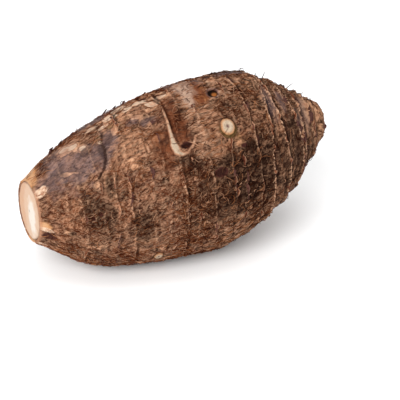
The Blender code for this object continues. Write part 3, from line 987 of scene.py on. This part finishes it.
def skinAt(u, angle, lift):
    # the relief's place at u and angle, blended from the four nearest grid points and raised by lift mm
    row = np.clip(u, 0, 1) * (grid["along"] - 1)
    column = (np.asarray(angle) + math.pi) % fullTurn / fullTurn * grid["around"]
    row0 = np.minimum(row.astype(int), grid["along"] - 2)
    column0 = column.astype(int) % grid["around"]
    column1 = (column0 + 1) % grid["around"]
    downRow, downColumn = (row - row0)[..., None], (column - np.floor(column))[..., None]

    def blended(surface):
        near = surface[row0, column0] * (1 - downColumn) + surface[row0, column1] * downColumn
        far = surface[row0 + 1, column0] * (1 - downColumn) + surface[row0 + 1, column1] * downColumn
        return near * (1 - downRow) + far * downRow

    outward = blended(smoothOutward)
    return blended(skinGrid) + outward * (np.asarray(lift) * mm)[..., None], outward


def wander(u, angle, heading, length, curl, steps, rng):
    # paths over the skin: each step goes on along its heading, which keeps turning
    stepMm = length / steps
    paths = [(u, angle)]
    turn = rng.normal(0, curl, len(u))
    for _ in range(steps):
        radius = np.interp(u, rows, radiusMm)
        u = u + np.cos(heading) * stepMm / corm["length"]
        angle = angle + np.sin(heading) * stepMm / radius
        heading = heading + turn + rng.normal(0, curl * 0.7, len(u))
        paths.append((u, angle))
    return np.stack([p[0] for p in paths], 1), np.stack([p[1] for p in paths], 1)


def makeStrands(name, paths, outward, radius, material, **tints):
    # three-sided tubes along paths (strands x stations x 3), thinner towards their ends, which a triangle
    # closes; a tint is an attribute with one number per strand
    count, stations, _ = paths.shape
    along = np.gradient(paths, axis=1)
    along /= np.linalg.norm(along, axis=-1, keepdims=True) + 1e-12
    side = np.cross(along, outward)
    side /= np.linalg.norm(side, axis=-1, keepdims=True) + 1e-12
    up = np.cross(side, along)
    share = np.linspace(0, 1, stations)
    taper = (0.45 + 0.55 * np.sin(np.pi * np.clip(share * 0.85 + 0.12, 0, 1)))[None, :, None, None]
    turn = math.radians(90) + fullTurn * np.arange(3) / 3
    ring = side[:, :, None] * np.cos(turn)[:, None] + up[:, :, None] * np.sin(turn)[:, None]
    points = paths[:, :, None] + ring * taper * (radius * mm)[:, None, None, None]
    last = (stations - 1) * 3
    ends = np.array([(2, 1, 0, 0), (last, last + 1, last + 2, last + 2)])
    one = np.concatenate([gridFaces(stations, 3)[:, [0, 3, 2, 1]], ends])
    faces = (one[None] + (np.arange(count) * stations * 3)[:, None, None]).reshape(-1, 4)
    piece = makePiece(name, points.reshape(-1, 3), faces, material)
    for tint, values in tints.items():
        giveAttribute(piece, tint, np.repeat(values, stations * 3))

    # map: a small square per strand, three strips for its sides and the corners of a fourth for its ends
    station, corner = np.divmod(np.arange((stations - 1) * 3), 3)
    left, right = station / stations, (station + 0.96) / stations
    low, high = corner / 4, (corner + 0.9) / 4
    strips = np.stack([left, low, left, high, right, high, right, low], -1).reshape(-1, 4, 2)
    corners = np.array([[(x, 0.8), (x + 0.3, 0.8), (x, 0.97), (x, 0.97)] for x in (0, 0.5)])
    giveMap(piece, inSquares(np.concatenate([strips, corners]) * 0.92, count))
    return piece


def inSquares(local, count):
    # the map of one strand or flake, repeated in as many small squares as there are strands or flakes
    perSide = math.ceil(math.sqrt(count))
    number = np.arange(count)
    square = np.stack([number % perSide, number // perSide], -1)
    return ((local[None] + square[:, None, None]) / perSide).reshape(-1, 4, 2)


fibreTones = {
    "dark": colour(42, 18, 10),
    "brown": colour(76, 39, 24),
    "tan": colour(148, 98, 70),
    "pale": colour(218, 174, 144),
}


def fibreFinish(name):
    f = Finish(name, {**skinTones, **fibreTones}, Roughness=0.8, Specular_IOR_Level=0.06)
    tone, purple = f.mask("tone"), f.mask("purple")
    speck = f.noise(f.place, 0.9)
    f.shown = f.mix(tone.ramp(0.0, 0.35), "dark", "brown")
    f.lay(tone.ramp(0.3, 0.65), "tan")
    f.lay(tone.ramp(0.6, 1.0), "pale")
    f.lay(speck.ramp(0.45, 0.7) * 0.4, "brown")
    f.lay(f.noise(f.place, 0.05).ramp(0.45, 0.65) * 0.3, "rust")
    f.lay(f.mask("rust") * 0.45, "rust")
    f.lay(purple * 0.5, "plum")
    f.lay(f.mask("shadow"), "deep")
    stained = (1.0 - purple * 0.7) * tone.ramp(0.75, 1.0, 1.0, 0.25)
    f.lay(stained, "stain", "MULTIPLY")
    f.lay(stained * 0.9, "glaze", "MULTIPLY")
    f.feed("Base Color", f.shown)
    f.feed("Roughness", 0.65 + speck * 0.2)
    f.bump(f.noise(f.stretched(f.place, (0.4, 1.0, 1.0)), 3.0), 0.08 * mm, 0.6)
    return f.material


floorGap = 0.3 * mm  # no strand or flake is nearer to the floor
topRoom = 2.6 * mm  # and none stands higher than this over the CAD box

fibres = {  # strand counts, lengths and radii in mm, how far they turn per step
    "crown": {
        "count": 6000, "from": 0.42, "to": 0.99, "length": (3.5, 10.0), "radius": (0.10, 0.24), "curl": 0.42,
        "spread": 1.25, "wisps": 0.12, "toneSpread": 0.30, "seed": 21,
    },
    "body": {
        "count": 6000, "from": 0.012, "to": 0.50, "length": (3.0, 9.0), "radius": (0.09, 0.20), "curl": 0.22,
        "spread": 0.55, "wisps": 0.05, "toneSpread": 0.24, "seed": 22,
    },
    "steps": 5,
}


def fibreChance(here, row, column):
    # how likely a strand is: less where the section is narrow, between clumps, on flakes and in the crown,
    # and hardly ever on smooth places, round special features and on the belly that lies on the floor
    spot = placeMm[row, column]
    clumps = smoothStep(-0.45, 0.35, layeredNoise(spot, 8.0, 91, 2))
    chance = radiusMm[row] / radiusMm.max() * (1 - 0.92 * here["smooth"]) * (0.12 + 0.88 * clumps)
    chance *= 1 - worn(spot)
    chance *= smoothStep(5.5, 8.0, here["bud"]) * (1 - here["pit"])
    chance *= smoothStep(5.0, 7.5, here["hole"]) * smoothStep(1.0, 3.0, here["streak"])
    return chance * (1 - 0.7 * here["crownward"]) * (1 - 0.7 * np.maximum(here["flake"], here["peel"]))


def makeFibres(name, style):
    rng = np.random.default_rng(style["seed"])
    tried = style["count"] * 4
    u = rng.uniform(style["from"], style["to"], tried)
    angle = rng.uniform(-math.pi, math.pi, tried)
    row = np.clip((u * (grid["along"] - 1)).astype(int), 0, grid["along"] - 1)
    column = ((angle + math.pi) / fullTurn * grid["around"]).astype(int) % grid["around"]
    here = {mask: values[row, column] for mask, values in skinMasks.items()}
    chance = fibreChance(here, row, column)
    kept = np.flatnonzero(rng.uniform(0, 1, tried) < chance)[: style["count"]]
    here = {mask: values[kept] for mask, values in here.items()}
    count = len(kept)
    fuzz = here["fuzz"]
    combed = 1 - 0.8 * fuzz
    heading = rng.normal(0, style["spread"], count) * combed
    ringwise = rng.normal(math.pi / 2, 0.3, count)
    heading = np.where(rng.uniform(0, 1, count) < here["crownward"], ringwise, heading)
    heading += np.where(rng.uniform(0, 1, count) < 0.5, 0, math.pi)
    length = rng.uniform(*style["length"], count) * rng.uniform(0.6, 1.0, count)
    curl = style["curl"] * combed
    pathU, pathAngle = wander(u[kept], angle[kept], heading, length, curl, fibres["steps"], rng)
    station = np.linspace(0, 1, fibres["steps"] + 1)
    rise = rng.uniform(0.1, 0.9, count)[:, None] * np.sin(np.pi * station) + 0.03
    points, outward = skinAt(np.clip(pathU, 0.004, 0.998), pathAngle, rise)
    points[..., 2] = np.maximum(points[..., 2], cormLow[2] + floorGap)

    light = 0.3 * here["tan"] - 0.15 * here["purple"] - 0.25 * fuzz
    tone = np.clip(rng.normal(0.46, style["toneSpread"], count) + light, 0, 1)
    radius = rng.uniform(*style["radius"], count)
    wisp = rng.uniform(0, 1, count) < style["wisps"] + 0.45 * fuzz  # pale and a little thicker
    tone[wisp] = rng.uniform(0.8, 1.0, wisp.sum())
    radius[wisp] += 0.03 + 0.03 * fuzz[wisp]
    shadow = 0.6 * here["dark"] + 0.55 * here["mattedAndShaded"]
    shadow *= rng.uniform(0.4, 1.0, count) * np.where(wisp, 0.2, 1)
    tints = {"tone": tone, "rust": here["rust"], "purple": here["purple"], "shadow": shadow}
    print(name + ":", count, "strands")
    return makeStrands(name, points, outward, radius, fibreFinish(name), **tints)


flesh = {
    "share": 0.925,
    "sink": 0.2,
    "depth": 2.9,
    "roundedEdge": 0.3,
    "rings": 26,
    "around": 120,
    "coreMiddle": (-4.2, -3.0),  # the pale core's place and half sizes on the cut, sideways and up
    "coreSize": (7.4, 13.6),
    "coreLean": 0.16,
}

fleshTones = {
    "core": colour(208, 197, 184),
    "ring": colour(190, 154, 124),
    "outer": colour(182, 128, 84),
    "border": colour(112, 70, 40),
    "fibre": colour(176, 128, 118),
}


def fleshFinish():
    f = Finish("cut taro flesh", fleshTones, Roughness=0.5, Specular_IOR_Level=0.4)
    cloud = f.noise(f.place, 0.22, 3.0)
    fine = f.noise(f.place, 1.6)
    core = f.mask("core").jittered(cloud, 1.1)
    f.shown = f.mix(core.ramp(0.55, 1.25), "core", "ring")
    f.lay(core.ramp(1.5, 2.1) * 0.7, "outer")
    f.lay(f.mask("edge").jittered(cloud, 0.12).ramp(0.92, 1.0) * 0.7, "border")
    f.lay(f.noise(f.place, 0.9, 1.0).ramp(0.64, 0.70) * 0.3, "fibre")
    f.lay(fine.ramp(0.4, 0.7) * 0.2, "core")
    f.feed("Base Color", f.shown)
    f.feed("Roughness", 0.40 + fine * 0.2)
    knife = f.noise(f.stretched(f.place, (1.0, 0.12, 1.6)), 0.7)
    f.bump(knife + fine * 0.3, 0.25 * mm, 0.8)
    return f.material


def makeFlesh():
    # a closed plug inside the rim of the cut: front, narrow side and back, each ring a share of the rim
    around = flesh["around"]
    rim = skinGrid[0][(np.arange(around) * grid["around"] / around).astype(int)]
    middle = rim.mean(0)
    shares = np.concatenate([np.linspace(0.03, 1, flesh["rings"]), [1.0, 0.5]]) * flesh["share"]
    depths = np.concatenate([np.full(flesh["rings"], flesh["sink"]), [flesh["depth"]] * 2])
    depths[flesh["rings"] - 1] += flesh["roundedEdge"]
    plug = middle + (rim - middle) * shares[:, None, None]
    bumpy = 0.18 * layeredNoise(plug / mm, 7.0, 95, 2) * (depths < 1)[:, None]
    plug[..., 0] += (depths[:, None] + bumpy) * mm
    poles = middle + np.array([(flesh["sink"] * mm, 0, 0), (flesh["depth"] * mm, 0, 0)])
    points = np.concatenate([plug.reshape(-1, 3), poles])
    piece = makePiece("cutFlesh", points, closedFaces(len(shares), around), fleshFinish())
    giveMap(piece, sheetMap(len(shares), around))
    offset = (points - middle) / mm
    (middleY, middleZ), (halfY, halfZ) = flesh["coreMiddle"], flesh["coreSize"]
    sideways = (offset[:, 1] - middleY - flesh["coreLean"] * offset[:, 2]) / halfY
    upward = (offset[:, 2] - middleZ) / halfZ
    giveAttribute(piece, "core", np.hypot(sideways, upward))
    giveAttribute(piece, "edge", np.append(np.repeat(shares / flesh["share"], around), [0.0, 0.0]))
    return piece


hairs = {
    "known": [  # place, angle, length in mm, and how far the tip leans towards the crown and the front
        (0.753, -18, 8.0, 1.1, 0.0), (0.800, -14, 4.2, 0.3, 0.0), (0.817, -10, 6.5, 0.4, -0.3),
        (0.905, -16, 8.0, 1.8, 0.0), (0.952, -16, 5.0, 1.2, 0.2), (0.975, 84, 5.5, 0.7, 0.5),
        (0.186, -23, 3.5, 0.5, 0.0), (0.10, -20, 5.0, -1.0, 0.0), (0.130, -21, 4.0, 0.8, 0.0),
        (0.352, -27, 3.2, 0.6, 0.0), (0.49, -25, 2.6, 0.4, 0.0),
    ],
    "others": 70,
    "lowest": 12,  # none is rooted lower than this, in mm
    "length": (1.5, 4.2),
    "radius": (0.10, 0.19),
    "knownRadius": 0.17,  # the known ones are this much thicker
    "stations": 7,
    "seed": 31,
}


def makeHairs():
    # each hair rises along the skin's normal and bends over with the square of its share of the length
    rng = np.random.default_rng(hairs["seed"])
    known = np.array(hairs["known"])
    count = hairs["others"]
    others = np.stack([
        rng.uniform(0.06, 0.98, count),
        rng.uniform(-180, 180, count),
        rng.uniform(*hairs["length"], count),
        rng.normal(0.5, 0.7, count),
        rng.normal(0, 0.6, count),
    ], 1)
    every = np.concatenate([known, others])
    root, outward = skinAt(every[:, 0], np.radians(every[:, 1]), np.full(len(every), -0.2))
    keep = root[:, 2] > cormLow[2] + hairs["lowest"] * mm
    every, root, outward = every[keep], root[keep], outward[keep]
    share = np.linspace(0, 1, hairs["stations"])[None, :, None]
    lean = np.stack([every[:, 3], -every[:, 4], -0.15 * np.ones(len(every))], -1)
    bend = rng.normal(0, 0.35, (len(every), 1, 3))
    rise = outward[:, None] * share + lean[:, None] * share**2 * 0.8 + bend * share**2
    length = every[:, 2] * mm / np.linalg.norm(rise[:, -1], axis=-1)
    points = root[:, None] + rise * length[:, None, None]
    points[..., 2] = np.minimum(points[..., 2], cadHigh[2] + topRoom)
    side = np.cross(outward, rng.normal(0, 1, outward.shape))
    side /= np.linalg.norm(side, axis=-1, keepdims=True)
    facing = np.repeat(side[:, None], hairs["stations"], 1)
    radius = rng.uniform(*hairs["radius"], len(every))
    radius[: len(known)] += hairs["knownRadius"]
    tone = np.clip(rng.normal(0.12, 0.1, len(every)), 0, 1)
    print("root hairs:", len(every))
    return makeStrands("rootHairs", points, facing, radius, fibreFinish("root hairs"), tone=tone)


husks = {
    "count": 520,
    "along": 5,  # places along each flake, on the way round the corm
    "across": 4,
    "halfLength": (1.2, 4.6),
    "width": (0.9, 3.0),
    "lift": (0.15, 1.3),
    "thickness": 0.16,
    "sunk": 0.05,
    "known": [  # place, angle, half length, width, lift
        (0.084, -25, 2.2, 7.0, 2.6), (0.126, -29, 2.4, 3.6, 1.5), (0.174, -29, 2.4, 3.6, 1.7),
        (0.281, -26, 2.2, 6.5, 2.3), (0.327, -30, 2.6, 3.2, 1.6), (0.354, -25, 2.6, 3.0, 1.5),
        (0.428, -26, 3.0, 3.0, 1.5), (0.873, 60, 3.0, 2.2, 1.0), (0.90, 20, 3.5, 2.4, 1.0),
        (0.93, 50, 4.5, 3.0, 0.9), (0.945, 85, 3.5, 2.6, 1.0), (0.985, 76, 1.6, 2.2, 1.6),
    ],
    "seed": 41,
}


def chosenHusks(rng):
    # place, angle, half length, width and lift of every flake: the known ones, then others at the torn edges
    chance = skinMasks["power"] * bell(skinMasks["scar"] + 0.3, 0.6)
    chance *= 1 - worn(placeMm)
    chance *= 1 - skinMasks["smooth"]
    chance *= smoothStep(7.5, 9.0, skinMasks["bud"]) * smoothStep(2.5, 5.0, skinMasks["streak"])
    chance *= smoothStep(6.0, 8.0, skinMasks["hole"])
    chosen = rng.choice(chance.size, husks["count"], p=(chance / chance.sum()).ravel())
    row, column = np.unravel_index(chosen, chance.shape)
    drawn = [rng.uniform(*husks[name], husks["count"]) for name in ("halfLength", "width", "lift")]
    known = np.array(husks["known"]).T
    others = np.array([rows[row], angles[column], *drawn])
    known[1] = np.radians(known[1])
    return np.concatenate([known, others], 1)


def huskFaces(total):
    # a quad sheet above, another below and walls round the border, for each flake
    along, across = husks["along"], husks["across"]
    index = np.arange(along * across).reshape(along, across)
    quads = np.stack([index[:-1, :-1], index[1:, :-1], index[1:, 1:], index[:-1, 1:]], -1).reshape(-1, 4)
    border = np.concatenate([index[0], index[1:, -1], index[-1, -2::-1], index[-2:0:-1, 0]])
    following = np.roll(border, -1)
    walls = np.stack([border, following, following + index.size, border + index.size], -1)
    one = np.concatenate([quads, quads[:, ::-1] + index.size, walls])
    return (one[None] + (np.arange(total) * 2 * index.size)[:, None, None]).reshape(-1, 4), len(one)


def makeHusks():
    # thin curled flakes, each a closed sheet, standing up along the torn edges of the leaf scars: s runs from
    # -1 to 1 along a flake and t from 0 to 1 across it; it is widest at s = 0, and lifts with a power of t
    rng = np.random.default_rng(husks["seed"])
    u, angle, halfLength, width, lift = chosenHusks(rng)[..., None, None]
    total = len(u)
    s = np.linspace(-1, 1, husks["along"])[None, :, None]
    t = np.linspace(0, 1, husks["across"])[None, None, :]
    ragged = rng.uniform(0.45, 1.0, (total, husks["along"], 1))
    reach = width * (1 - 0.75 * s**2) * ragged * t
    radius = np.interp(u, rows, radiusMm)
    slant = rng.normal(0, 0.16, total)[:, None, None]
    pathU = np.clip(u + (reach + slant * s * halfLength) / corm["length"], 0.003, 0.999)
    pathAngle = angle + s * halfLength / radius + 0 * t
    curl = rng.uniform(1.2, 2.4, total)[:, None, None]
    rise = lift * (t**curl + 0.15 * rng.normal(0, 1, (total, husks["along"], 1)) * t) * (1 - 0.5 * s**2)
    middle, outward = skinAt(pathU, pathAngle, np.clip(rise, 0, 3) + 0.02)
    sheets = [middle + outward * husks["thickness"] * mm, middle - outward * husks["sunk"] * mm]
    points = np.concatenate([sheet.reshape(total, -1, 3) for sheet in sheets], 1)
    points[..., 2] = np.clip(points[..., 2], cormLow[2] + floorGap, cadHigh[2] + topRoom)

    faces, perFlake = huskFaces(total)
    piece = makePiece("huskScales", points.reshape(-1, 3), faces, huskFinish())
    perSide = math.ceil(math.sqrt(perFlake))
    number = np.arange(perFlake)
    cell = np.stack([number % perSide, number // perSide], -1)
    corner = np.array([(0, 0), (0.9, 0), (0.9, 0.9), (0, 0.9)])
    giveMap(piece, inSquares((cell[:, None] + corner[None]) / perSide * 0.95, total))
    tone = np.clip(rng.normal(0.4, 0.25, total), 0, 1)
    tone[: len(husks["known"])] = 0.1
    giveAttribute(piece, "tone", np.repeat(tone, points.shape[1]))
    edge = np.broadcast_to(t, (total, 2 * husks["along"], husks["across"]))
    giveAttribute(piece, "edge", edge)
    print("husk scales:", total)
    return piece


def huskFinish():
    f = Finish("papery husk", skinTones, Roughness=0.8, Specular_IOR_Level=0.06)
    tone = f.mask("tone")
    grain = f.noise(f.stretched(f.place, (1.4, 0.5, 0.5)), 1.1)
    f.shown = f.mix(tone.ramp(0.1, 0.5), "mauve", "warm")
    f.lay(tone.ramp(0.5, 0.9), "tan")
    f.lay(grain.ramp(0.5, 0.35) * 0.7, "deep")
    f.lay(f.mask("edge").ramp(0.55, 1.0) * tone.ramp(0.1, 0.5) * 0.6, "pale")
    f.feed("Base Color", f.shown)
    f.feed("Roughness", 0.6 + grain * 0.3)
    f.bump(grain, 0.25 * mm, 0.8)
    return f.material


skin = makeSkin()
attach(skin, "root")
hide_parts("taro_corm")
print("skin:", len(skin.data.polygons), "faces")

cut = makeFlesh()
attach(cut, "root")
for name, style in (("crownFibres", fibres["crown"]), ("bodyFibres", fibres["body"])):
    piece = makeFibres(name, style)
    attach(piece, "root")
for piece in (makeHairs(), makeHusks()):
    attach(piece, "root")

stage = {
    "floorSize": 6.0,
    "floorTone": (0.95, 0.95, 0.95, 1.0),
    "floorLight": (0.97, 0.97, 0.97, 1.0),
    "skyStrength": 0.85,
    "lens": 130.5,
    "sensor": 36.0,
    "azimuth": -21.6,
    "elevation": 28.2,
    "distance": 1.0,
    "aimHeight": 0.060,
    "aimRight": 25.0,  # the corm's middle stands this far left of the middle of the picture, and above it
    "aimDown": 35.7,
    "pictureWidth": 400.0,
    "lights": [  # name, place, target, size in metres, power in watts
        ("softKey", (-0.85, -1.0, 1.05), (0, 0, 0.05), 1.0, 20.0),
        ("rootSide", (-1.3, -0.45, 0.5), (-0.05, 0, 0.03), 0.7, 5.0),
        ("softTop", (0.1, -0.1, 1.7), (0, 0, 0.05), 1.2, 6.0),
    ],
}


def makeFloor():
    f = Finish("pale studio floor", {}, Roughness=0.9, Specular_IOR_Level=0.2)
    patchy = f.noise(f.place, 0.02).ramp(0.3, 0.7)
    f.feed("Base Color", f.mix(patchy, stage["floorTone"], stage["floorLight"]))
    half, low = stage["floorSize"] / 2, cormLow[2]
    corners = np.array([(-half, -half, low), (half, -half, low), (half, half, low), (-half, half, low)])
    floor = makePiece("floor", corners, np.array([[0, 1, 2, 3]]), f.material)
    floor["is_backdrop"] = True


def aimed(name, data, place, target):
    # an object at that place whose -Z axis points to the target
    holder = bpy.data.objects.new(name, data)
    bpy.context.scene.collection.objects.link(holder)
    holder.location = place
    holder.rotation_mode = "QUATERNION"
    holder.rotation_quaternion = Vector(np.array(place) - np.array(target)).to_track_quat("Z", "Y")
    return holder


def makeLight(name, place, target, size, power):
    lamp = bpy.data.lights.new(name, "AREA")
    lamp.shape = "DISK"
    lamp.size = size
    lamp.energy = power
    aimed(name, lamp, place, target)


def makeSky():
    world = bpy.data.worlds.new("white studio")
    world.use_nodes = True
    background = world.node_tree.nodes["Background"]
    background.inputs["Color"].default_value = (1.0, 1.0, 1.0, 1.0)
    background.inputs["Strength"].default_value = stage["skyStrength"]
    bpy.context.scene.world = world


def makeCamera():
    azimuth, elevation = math.radians(stage["azimuth"]), math.radians(stage["elevation"])
    flat = math.cos(elevation)
    back = np.array([math.sin(azimuth) * flat, -math.cos(azimuth) * flat, math.sin(elevation)])
    right = np.array([math.cos(azimuth), math.sin(azimuth), 0.0])
    up = np.cross(back, right)
    aimFrom = np.array([0.0, 0.0, stage["aimHeight"]])
    perUnit = stage["sensor"] / stage["lens"] / stage["pictureWidth"]  # picture shift per metre of distance
    aim = aimFrom + (right * stage["aimRight"] - up * stage["aimDown"]) * perUnit * stage["distance"]
    camera = bpy.data.cameras.new("camera")
    camera.lens = stage["lens"]
    camera.sensor_width = stage["sensor"]
    bpy.context.scene.camera = aimed("camera", camera, aimFrom + back * stage["distance"], aim)


makeFloor()
makeSky()
for light in stage["lights"]:
    makeLight(*light)
makeCamera()
bpy.context.scene.view_settings.view_transform = "Standard"
print("stage set")
